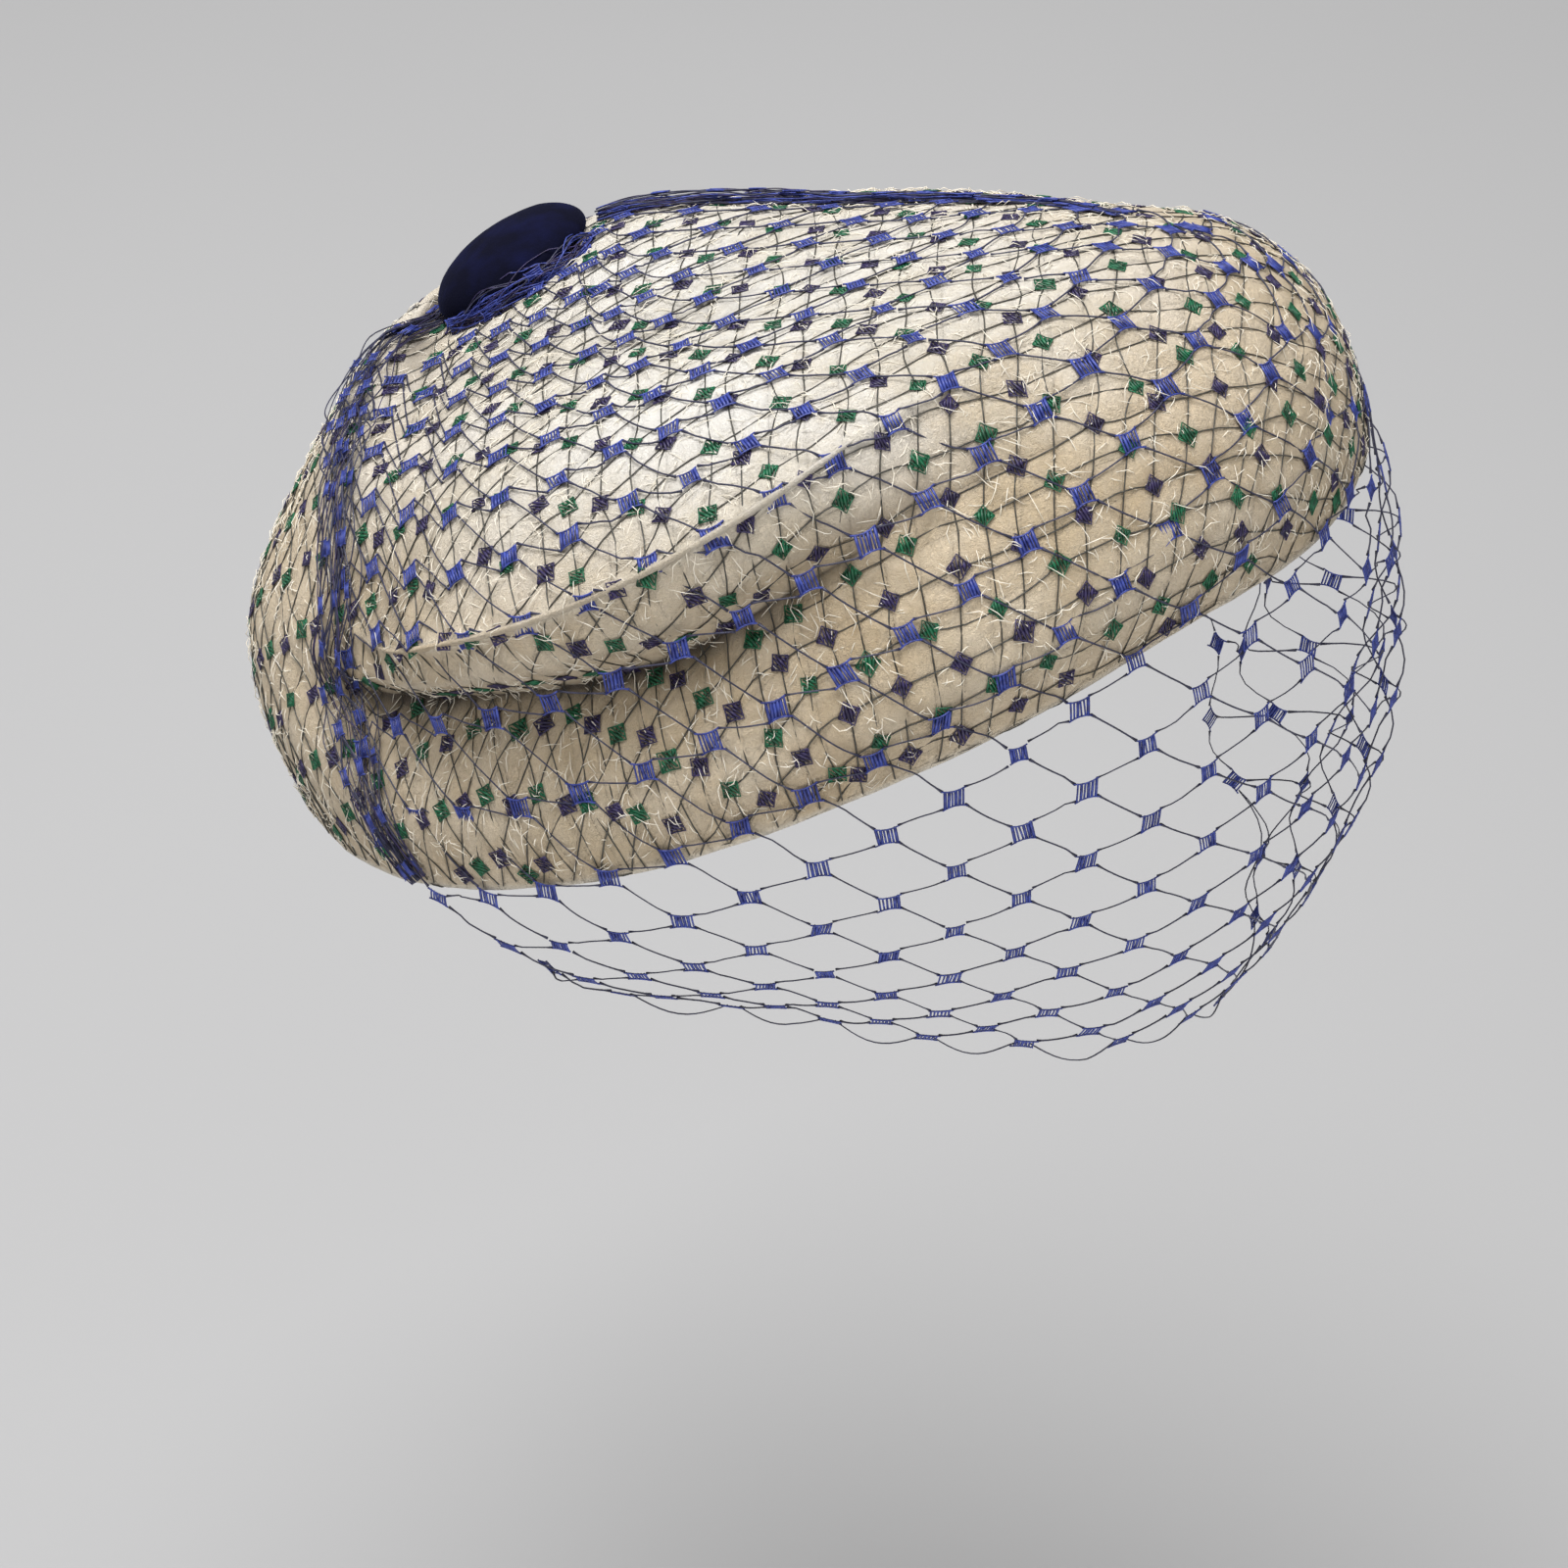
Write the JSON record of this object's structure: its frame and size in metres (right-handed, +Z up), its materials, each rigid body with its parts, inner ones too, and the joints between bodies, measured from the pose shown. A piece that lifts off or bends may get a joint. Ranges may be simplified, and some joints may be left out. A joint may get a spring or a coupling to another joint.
{
  "type": "veiled felt hat",
  "caption": "Round felt hat with a folded crown and turned cuff, a velvet button, and a coarse net veil that is gathered over the crown and hangs in front of the face.",
  "frame": {"origin": "centre of the head opening, in the plane of the rim", "axes": "+Z up, -Y the way the wearer faces, +X towards the wearer's left; the rim is tilted back by 20.5 degrees and to the wearer's right by 4.3 degrees, as the hat is worn"},
  "size_m": [0.2852, 0.273, 0.2281],
  "materials": {
    "wool_felt": "cream wool felt with a soft short nap",
    "velvet": "dark navy velvet with a dense pile",
    "veiling": "royal blue millinery net of fine stiff thread"
  },
  "bodies": {
    "root": {"felt_hood": "wool_felt", "velvet_button": "velvet", "crown_gather": "veiling", "back_gather": "veiling", "veil": "veiling"}
  },
  "joints": []
}
